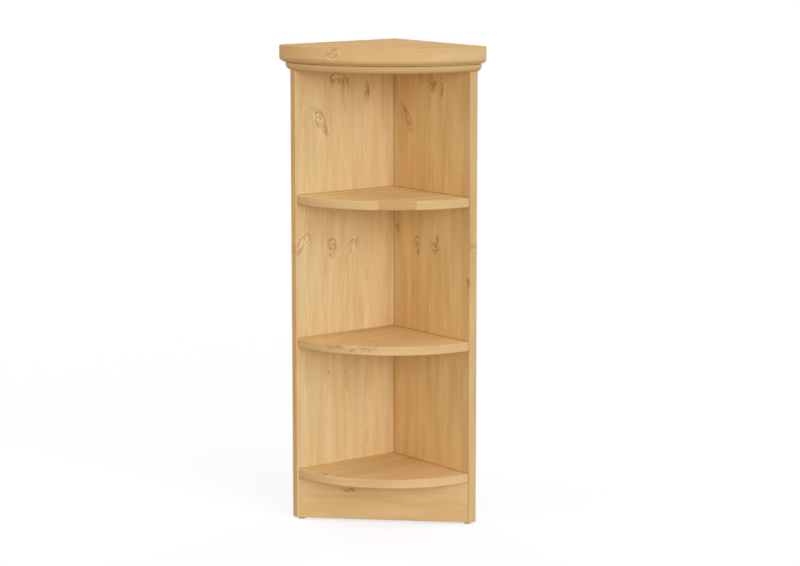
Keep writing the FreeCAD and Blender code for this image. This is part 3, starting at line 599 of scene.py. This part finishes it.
        # The front edge has a tone of its own, and fibres of its own where it is round.
        length: Input = self.stave_length
        on_edge: Input = 0.0
        if board.edge_radius:
            place, on_edge = self.round_the_edge(tree, board, spot, normal, place)
            length = add("MapRange", {"Value": on_edge, "To": (self.stave_length, board.edge_piece)})
            front = on_edge
        else:
            front = add("Math", {0: aside, 1: self.edge_facing}, operation="GREATER_THAN")
        tone = add("Mix", {"Factor": front, "A": linear(board.tone), "B": linear(board.edge_tone)},
                   data_type="RGBA")
        marks, push = self.add_knots(tree, board, place, on_edge)
        cut = add("Math", {0: endways, 1: self.cut_power}, operation="POWER")
        end = add("Math", {0: cut, 1: on_edge}, operation="SUBTRACT", use_clamp=True)
        figure = add("Group", {"Place": place, "Marks": marks, "Push": push, "Piece": length,
                               "Seed": board.seed, "End": end, "Figure": board.figure, "Seams": board.seams,
                               "Tone": tone},
                     node_tree=bpy.data.node_groups["pine_figure"]).outputs

        # Painted shade: the colour darkens where the air closes in, at joints between boards and in
        # creases.
        air = add("AmbientOcclusion", {"Distance": board.crease_shade_width * MM}, samples=6).outputs["AO"]
        painted_crease_shade = add("MapRange", {"Value": air, "From": self.crease_shade_air, "To": (0.0, self.crease_shade_share)},
                     interpolation_type="SMOOTHSTEP")
        wood = add("Mix", {"Factor": painted_crease_shade, "A": figure["Color"], "B": linear(self.joint)},
                   data_type="RGBA")
        bump = add("Bump", {"Height": figure["Height"], "Strength": self.bump_strength,
                            "Distance": self.bump_height * MM})
        shader = add("BsdfPrincipled", {"Base Color": wood, "Roughness": figure["Roughness"],
                                        "Normal": bump, "IOR": self.ior, "Specular IOR Level": self.gloss})
        add("OutputMaterial", {"Surface": shader})
        return made

    def round_the_edge(self, tree: bpy.types.NodeTree, board: Board, spot: Input, normal: Input,
                       place: Input) -> tuple[Input, Input]:
        """Leads the fibres round a curved front edge, and leaves the flat top as it is.

        Args:
            tree: Node tree of the board's material.
            board: The board with its edge.
            spot: Place in the frame.
            normal: Which way the surface looks.
            place: Place in the flat board.

        Returns:
            The place that the figure is drawn for, and 1 where it follows the edge.
        """
        add = partial(add_node, tree)
        near = add("Mapping", {"Vector": spot, "Location": -board.origin / MM, "Scale": PER_MM})
        part = add("SeparateXYZ", {0: near}).outputs
        out = add("VectorMath", {0: near, 1: LEVEL}, operation="MULTIPLY")
        reach = add("VectorMath", {0: out}, operation="LENGTH").outputs["Value"]
        angle = add("Math", {0: part["Y"], 1: part["X"]}, operation="ARCTAN2")
        arc = add("Math", {0: angle, 1: board.edge_radius, 2: -board.edge_start}, operation="MULTIPLY_ADD")
        up = add("Math", {0: part["Z"], 1: self.stave_width / 2}, operation="ADD")
        depth = add("Math", {0: reach, 1: board.edge_radius}, operation="SUBTRACT")
        round_place = add("CombineXYZ", {"X": up, "Y": depth, "Z": arc})
        outer = add("Math", {0: depth, 1: -board.edge_depth}, operation="GREATER_THAN")
        tilt = add("SeparateXYZ", {0: normal}).outputs["Z"]
        steep = add("Math", {0: tilt, 1: self.top_facing}, operation="LESS_THAN")
        on_edge = add("Math", {0: outer, 1: steep}, operation="MULTIPLY")
        return add("Mix", {"Factor": on_edge, "A": place, "B": round_place}, data_type="VECTOR"), on_edge

    def add_knots(self, tree: bpy.types.NodeTree, board: Board, place: Input,
                  on_edge: Input) -> tuple[Input, Input]:
        """Draws a board's knots.

        Args:
            tree: Node tree of the board's material.
            board: The board with its knots.
            place: Place in the board.
            on_edge: 1 where the fibres follow the rounded front edge.

        Returns:
            The marks of all knots together, and their push on the fibres.
        """
        add = partial(add_node, tree)
        marks: Input = (0.0, 0.0, 0.0)
        push: Input = 0.0
        on_face = add("Math", {0: 1.0, 1: on_edge}, operation="SUBTRACT")
        listed = [(k, on_face, board.first_seam, 0.0) for k in board.knots]
        listed += [(k, on_edge, -self.stave_width / 2, board.edge_start) for k in board.edge_knots]
        for knot, shown, seam, start in listed:
            one = add("Group", {"Place": place, "Centre": (knot.across - seam, 0.0, knot.along - start),
                                "Radius": knot.radius, "Stretch": knot.stretch,
                                "Tilt": math.radians(-knot.tilt), "Dark": knot.dark, "Pale": knot.pale,
                                "Cap": knot.cap},
                      node_tree=bpy.data.node_groups["pine_knot"]).outputs
            drawn = add("VectorMath", {0: one["Marks"], "Scale": shown}, operation="SCALE")
            marks = add("VectorMath", {0: drawn, 1: marks}, operation="MAXIMUM")
            push = add("Math", {0: one["Push"], 1: shown, 2: push}, operation="MULTIPLY_ADD")
        return marks, push


@dataclass(frozen=True)
class BeechDowel:
    """Raw turned beech: pale pinkish brown with short darker flecks along the fibres."""

    ground: str = "#CDA679"
    fleck: str = "#9C7048"
    fleck_share: float = 0.7
    fleck_odds: Span = (0.5, 0.72)
    fleck_width: float = 0.35
    fleck_length: float = 2.2
    roughness: float = 0.62
    bump_height: float = 0.1
    bump_strength: float = 0.3

    def material(self, along: tuple[float, float, float], name: str) -> bpy.types.Material:
        """Makes the finish.

        Args:
            along: Direction of the dowels.
            name: Which dowels these are.

        Returns:
            The material.
        """
        made, tree = new_material(f"raw_beech_{name}")
        add = partial(add_node, tree)
        turn = Vector(along).rotation_difference(Vector((0, 0, 1))).to_euler()
        place = add("Mapping", {"Vector": add("TexCoord").outputs["Object"], "Rotation": turn,
                                "Scale": PER_MM})
        flecks = add_streaks(tree, place, self.fleck_width, self.fleck_length, detail=2.0)
        amount = add("MapRange", {"Value": flecks, "From": self.fleck_odds, "To": (0.0, self.fleck_share)})
        wood = add("Mix", {"Factor": amount, "A": linear(self.ground), "B": linear(self.fleck)},
                   data_type="RGBA")
        bump = add("Bump", {"Height": flecks, "Strength": self.bump_strength,
                            "Distance": self.bump_height * MM})
        shader = add("BsdfPrincipled", {"Base Color": wood, "Normal": bump, "Roughness": self.roughness})
        add("OutputMaterial", {"Surface": shader})
        return made


@dataclass(frozen=True)
class ZincPlatedSteel:
    """Pressed and turned steel with bright zinc: cool grey, cloudy and faintly scratched."""

    ground: str = "#B4B3AE"
    cloud: str = "#918F88"
    cloud_odds: Span = (0.35, 0.7)
    cloud_size: float = 3.0
    grit: float = 0.25
    roughness: Span = (0.24, 0.44)
    bump_height: float = 0.05
    bump_strength: float = 0.25

    def material(self) -> bpy.types.Material:
        """Makes the finish.

        Returns:
            The material.
        """
        made, tree = new_material("zinc_plated_steel")
        add = partial(add_node, tree)
        place = add("Mapping", {"Vector": add("TexCoord").outputs["Object"], "Scale": PER_MM})
        clouds = add("TexNoise", {"Vector": place, "Scale": 1 / self.cloud_size, "Detail": 4.0})
        scratches = add("TexNoise", {"Vector": place, "Scale": 1 / self.grit, "Detail": 2.0})
        tone = add("MapRange", {"Value": clouds, "From": self.cloud_odds})
        metal = add("Mix", {"Factor": tone, "A": linear(self.ground), "B": linear(self.cloud)},
                    data_type="RGBA")
        rough = add("MapRange", {"Value": scratches, "To": self.roughness})
        bump = add("Bump", {"Height": scratches, "Strength": self.bump_strength,
                            "Distance": self.bump_height * MM})
        shader = add("BsdfPrincipled", {"Base Color": metal, "Metallic": 1.0, "Roughness": rough,
                                        "Normal": bump})
        add("OutputMaterial", {"Surface": shader})
        return made


@dataclass(frozen=True)
class GlidePolyethylene:
    """Moulded beige polyethylene: waxy, with a fine spark-eroded grain and a little floor dirt."""

    ground: str = "#D9C6A2"
    scuff: str = "#A88F68"
    scuff_size: float = 4.0
    scuff_height: float = 2.5
    grain_size: float = 0.5
    roughness: Span = (0.39, 0.6)
    bump_height: float = 0.05
    bump_strength: float = 0.3

    def material(self) -> bpy.types.Material:
        """Makes the finish.

        Returns:
            The material.
        """
        made, tree = new_material("moulded_polyethylene")
        add = partial(add_node, tree)
        place = add("Mapping", {"Vector": add("TexCoord").outputs["Object"], "Scale": PER_MM})
        height = add("SeparateXYZ", {0: place}).outputs["Z"]
        grain = add("TexNoise", {"Vector": place, "Scale": 1 / self.grain_size, "Detail": 2.0})
        dirt = add("TexNoise", {"Vector": place, "Scale": 1 / self.scuff_size, "Detail": 4.0})
        low = add("MapRange", {"Value": height, "From": (self.scuff_height, 0.0)})
        worn = add("Math", {0: dirt, 1: low}, operation="MULTIPLY")
        plastic = add("Mix", {"Factor": worn, "A": linear(self.ground), "B": linear(self.scuff)},
                      data_type="RGBA")
        rough = add("MapRange", {"Value": dirt, "To": self.roughness})
        bump = add("Bump", {"Height": grain, "Strength": self.bump_strength,
                            "Distance": self.bump_height * MM})
        shader = add("BsdfPrincipled", {"Base Color": plastic, "Roughness": rough, "Normal": bump})
        add("OutputMaterial", {"Surface": shader})
        return made


@dataclass
class SidePanels:
    """The two upright panels that meet in the corner. Knots are placed from there and from the floor."""

    pine: LacqueredPine
    corner: Vector
    left_seam: float = 19.4
    left_seed: float = 537.0
    left_tone: str = "#E7C893"
    left_edge_tone: str = "#EFC48C"
    left_knots: tuple[Knot, ...] = (
        Knot(147, 888, 15, 1.1, 0, 0.8, 1.0),
        Knot(123, 880, 12, 1.4, 10, 0.8, 1.2),
        Knot(69, 857, 7, 3.6, 0, 1.2, 0.6),
        Knot(186, 806, 15, 2.3, 32, 0.75, 1.6),
        Knot(229, 564, 13, 2.4, -35, 0.65, 2.0),
        Knot(158, 548, 12, 1.7, 0, 1.0, 0.8, 1.0),
        Knot(106, 551, 13, 1.5, -20, 0.8, 1.6),
        Knot(167, 293, 3),
        Knot(126, 293, 3))
    right_seam: float = 14.0
    right_seed: float = 16476.0
    right_tone: str = "#EBCA8F"
    right_edge_tone: str = "#E7C28D"
    right_knots: tuple[Knot, ...] = (
        Knot(123, 880, 14, 1.4, -30, 1.2, 0.5),
        Knot(88, 887, 13, 1.2, 0, 0.4, 0.0),
        Knot(155, 874, 6, 4.5, 0, 1.1, 1.0),
        Knot(44, 803, 13, 3.0, -40, 1.0, 0.6),
        Knot(76, 547, 10, 2.0, 0, 1.0, 0.8, 1.0),
        Knot(134, 556, 15, 1.4, 20, 1.0, 1.1),
        Knot(13, 577, 8, 1.5, 0, 1.0, 0.4),
        Knot(238, 487, 7, 3.0, 0, 1.1, 0.8),
        Knot(246, 556, 5, 4.0, 0, 0.4, 0.6))

    def dress(self) -> None:
        """Gives each panel its staves and knots."""
        left = Board("left_panel", Grain.LEFT_UPRIGHT, self.corner, self.left_seam, self.left_seed,
                     self.left_knots, tone=self.left_tone, edge_tone=self.left_edge_tone)
        right = Board("right_panel", Grain.RIGHT_UPRIGHT, self.corner, self.right_seam, self.right_seed,
                      self.right_knots, tone=self.right_tone, edge_tone=self.right_edge_tone)
        for board in (left, right):
            dress(board.node, self.pine.material(board))


@dataclass
class Shelves:
    """The three quarter-round shelves."""

    pine: LacqueredPine
    corner: Vector
    radius: float = 242.0
    edge_round: float = 2.0
    figure: float = 0.75
    seams: float = 0.3
    tone: str = "#EBC991"
    upper_tone: str = "#F4D7A0"

    def dress(self) -> None:
        """Gives each shelf its staves, knots and front edge."""
        cuts = {
            "upper_shelf": {"first_seam": 6.0, "seed": 553.0, "edge_start": 72.5, "tone": self.upper_tone},
            "middle_shelf": {"first_seam": 31.0, "seed": 85.0, "edge_start": 47.5, "tone": self.tone,
                             "edge_knots": (Knot(0, -238, 9, 1.4, 0, 0.6, 0.8),
                                            Knot(4, -211, 6, 3.5, 0, 0.6, 0.0),
                                            Knot(4, -282, 6, 4.5, 0, 0.6, 0.0))},
            "bottom_shelf": {"first_seam": 18.0, "seed": 158.0, "edge_start": 25.5, "tone": self.tone,
                             "knots": (Knot(61, -7, 5, 1.6), Knot(68, -226, 5, 2.0, 0, 1.3))}}
        for node, cut in cuts.items():
            board = Board(node, Grain.ALONG_LEFT_WALL, half_way_up(node, self.corner), figure=self.figure,
                          seams=self.seams, edge_radius=self.radius, edge_depth=self.edge_round, **cut)
            dress(node, self.pine.material(board))


@dataclass
class Plinth:
    """The straight board under the bottom shelf."""

    pine: LacqueredPine
    corner: Vector
    seam: float = 31.0
    seed: float = 225.0
    figure: float = 1.2
    tone: str = "#E5BD87"
    knot: Knot = Knot(65, -72, 5, 3.5, 0, 1.3, 0.7)

    def dress(self) -> None:
        """Gives the plinth, a board of one piece, its figure and its knot."""
        board = Board("plinth_board", Grain.ACROSS_CORNER, self.corner, self.seam, self.seed, (self.knot,),
                      self.figure, seams=0.0, tone=self.tone)
        dress(board.node, self.pine.material(board))


@dataclass
class Crown:
    """The moulded cornice board and the top board on it."""

    pine: LacqueredPine
    corner: Vector
    radius: float = 272.0
    moulding: float = 32.0
    top_edge: float = 12.0
    edge_piece: float = 2000.0
    seam: float = 12.0
    seams: float = 0.3
    tone: str = "#E7BF86"
    edge_tone: str = "#E0BA83"
    top_knot: Knot = Knot(4, -300, 14, 1.6, 25, 0.4, 0.9)

    def dress(self) -> None:
        """Gives both boards their staves, with fibres that follow the moulded front."""
        # The moulded cornice gets a narrower band of painted shade in its creases than the top board.
        cuts = {
            "cornice_board": {"seed": 131.0, "edge_depth": self.moulding, "crease_shade_width": 2.6},
            "top_board": {"seed": 149.0, "edge_depth": self.top_edge, "crease_shade_width": 3.6,
                          "edge_knots": (self.top_knot,)}}
        for node, cut in cuts.items():
            board = Board(node, Grain.ALONG_LEFT_WALL, half_way_up(node, self.corner), self.seam,
                          seams=self.seams, edge_radius=self.radius, edge_piece=self.edge_piece,
                          tone=self.tone, edge_tone=self.edge_tone, **cut)
            dress(node, self.pine.material(board))


@dataclass
class Joinery:
    """Screws, dowels and brackets that hold the boards together."""

    beech: BeechDowel
    zinc: ZincPlatedSteel

    def dress(self) -> None:
        """Gives every fitting its finish."""
        zinc = self.zinc.material()
        for node in ("bottom_shelf_screws", "middle_shelf_screws", "upper_shelf_screws",
                     "corner_joint_screws", "cornice_screws", "top_board_screws",
                     "plinth_bracket_screws", "plinth_left_bracket", "plinth_right_bracket", "glide_nails"):
            dress(node, zinc)
        level = self.beech.material((1, 0, 0), "level_dowels")
        upright = self.beech.material((0, 0, 1), "upright_dowels")
        for node in ("bottom_shelf_dowels", "middle_shelf_dowels", "upper_shelf_dowels",
                     "corner_joint_dowels"):
            dress(node, level)
        for node in ("cornice_dowels", "plinth_dowels"):
            dress(node, upright)


@dataclass
class Glides:
    """The four nail-on glides under the panels."""

    plastic: GlidePolyethylene

    def dress(self) -> None:
        """Gives every glide its finish."""
        plastic = self.plastic.material()
        for side in ("left", "right"):
            for end in ("front", "rear"):
                dress(f"{side}_{end}_glide", plastic)


@dataclass(frozen=True)
class Lamp:
    """A large soft light, so far away that it falls evenly.

    Attributes:
        name: What the light does.
        azimuth: Side that it shines from, 0 for -Y and 90 for +X, in degrees.
        elevation: Height above the floor, in degrees.
        strength: Irradiance in W per square metre.
        spread: How wide it looks from the object, in degrees.
        colour: Its light's tint.
    """

    name: str
    azimuth: float
    elevation: float
    strength: float
    spread: float
    colour: str = "#FFFFFF"


@dataclass
class Studio:
    """White floor and background, soft light and the camera, in metres, degrees and mm of lens."""

    aim: tuple[float, float, float] = (0.021, 0.0274, 0.49)
    azimuth: float = 52.17
    elevation: float = 9.27
    distance: float = 5.113
    lens: float = 116.15
    floor_size: float = 60.0
    floor_bounce: str = "#CBCAC7"
    floor_shadow: str = "#9DA0A6"
    floor_glow: float = 0.742
    sky: float = 0.06
    lamps: tuple[Lamp, ...] = (
        Lamp("key_light", 85.0, 18.0, 1.77, 45.0, "#E4F0FF"),
        Lamp("front_light", 52.0, 10.0, 0.77, 30.0),
        Lamp("fill_light", -15.0, 15.0, 0.60, 50.0, "#FFE7C5"),
        Lamp("top_light", 50.0, 80.0, 1.15, 50.0, "#FFF4E4"),
        Lamp("left_back_light", 262.0, 8.0, 1.3, 30.0),
        Lamp("right_back_light", 188.0, 8.0, 1.3, 30.0))

    @staticmethod
    def direction(azimuth: float, elevation: float) -> Vector:
        """Points from the object to the given side.

        Args:
            azimuth: 0 is the side of -Y and 90 the side of +X, in degrees.
            elevation: Angle above the floor, in degrees.

        Returns:
            Unit vector.
        """
        a = math.radians(azimuth)
        e = math.radians(elevation)
        return Vector((math.sin(a) * math.cos(e), -math.cos(a) * math.cos(e), math.sin(e)))

    @staticmethod
    def seen_directly(tree: bpy.types.NodeTree) -> bpy.types.Node:
        """Adds a switch that is 1 for what the camera, gloss and glass see.

        Args:
            tree: Node tree that gets the nodes.

        Returns:
            The node with the switch.
        """
        add = partial(add_node, tree)
        path = add("LightPath").outputs
        other = add("Math", {0: path["Is Glossy Ray"], 1: path["Is Transmission Ray"]}, operation="MAXIMUM")
        return add("Math", {0: path["Is Camera Ray"], 1: other}, operation="MAXIMUM")

    def add_world(self) -> None:
        """Surrounds the object with even soft light that shows as white."""
        world = bpy.data.worlds.new("studio")
        world.use_nodes = True
        world.node_tree.nodes.clear()
        add = partial(add_node, world.node_tree)
        level = add("MapRange", {"Value": self.seen_directly(world.node_tree), "To": (self.sky, 1.0)})
        add("OutputWorld", {"Surface": add("Background", {"Color": WHITE, "Strength": level})})
        bpy.context.scene.world = world

    def add_floor(self) -> None:
        """Lays the white floor, which keeps a faint shadow of the object."""
        bpy.ops.object.select_all(action="DESELECT")
        bpy.ops.mesh.primitive_plane_add(size=self.floor_size)
        floor = bpy.context.object
        floor.name = "studio_floor"
        made, tree = new_material("white_floor")
        add = partial(add_node, tree)
        bounce = add("BsdfDiffuse", {"Color": linear(self.floor_bounce)})
        shadow = add("BsdfDiffuse", {"Color": linear(self.floor_shadow)})
        glow = add("Emission", {"Color": WHITE, "Strength": self.floor_glow})
        seen = add("AddShader", {0: shadow, 1: glow})
        surface = add("MixShader", {0: self.seen_directly(tree), 1: bounce, 2: seen})
        add("OutputMaterial", {"Surface": surface})
        floor.data.materials.append(made)

    def add_lamps(self) -> None:
        """Hangs the large soft lights."""
        for lamp in self.lamps:
            light = bpy.data.lights.new(lamp.name, "SUN")
            light.energy = lamp.strength
            light.color = linear(lamp.colour)[:3]
            light.angle = math.radians(lamp.spread)
            hung = bpy.data.objects.new(lamp.name, light)
            towards = self.direction(lamp.azimuth, lamp.elevation)
            hung.rotation_euler = towards.to_track_quat("Z", "Y").to_euler()
            bpy.context.scene.collection.objects.link(hung)

    def add_camera(self) -> None:
        """Sets the camera at the photograph's angle and distance."""
        data = bpy.data.cameras.new("camera")
        data.lens = self.lens
        camera = bpy.data.objects.new("camera", data)
        back = self.direction(self.azimuth, self.elevation)
        camera.location = Vector(self.aim) + back * self.distance
        camera.rotation_euler = back.to_track_quat("Z", "Y").to_euler()
        bpy.context.scene.collection.objects.link(camera)
        bpy.context.scene.camera = camera

    def build(self) -> None:
        """Builds the studio and sets plain colours."""
        self.add_world()
        self.add_floor()
        self.add_lamps()
        self.add_camera()
        bpy.context.scene.view_settings.view_transform = "Standard"


def main() -> None:
    """Dresses the unit from the panels to the glides, then builds the studio."""
    logging.basicConfig(level=logging.INFO, format="%(name)s: %(message)s")
    pine = LacqueredPine()
    KnotFigure().group()
    pine.figure_group()
    corner = Vector((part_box("left_panel")[1].x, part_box("right_panel")[0].y, 0.0))
    SidePanels(pine, corner).dress()
    Shelves(pine, corner).dress()
    Plinth(pine, corner).dress()
    Crown(pine, corner).dress()
    Joinery(BeechDowel(), ZincPlatedSteel()).dress()
    Glides(GlidePolyethylene()).dress()
    Studio().build()


if __name__ == "__main__":
    main()
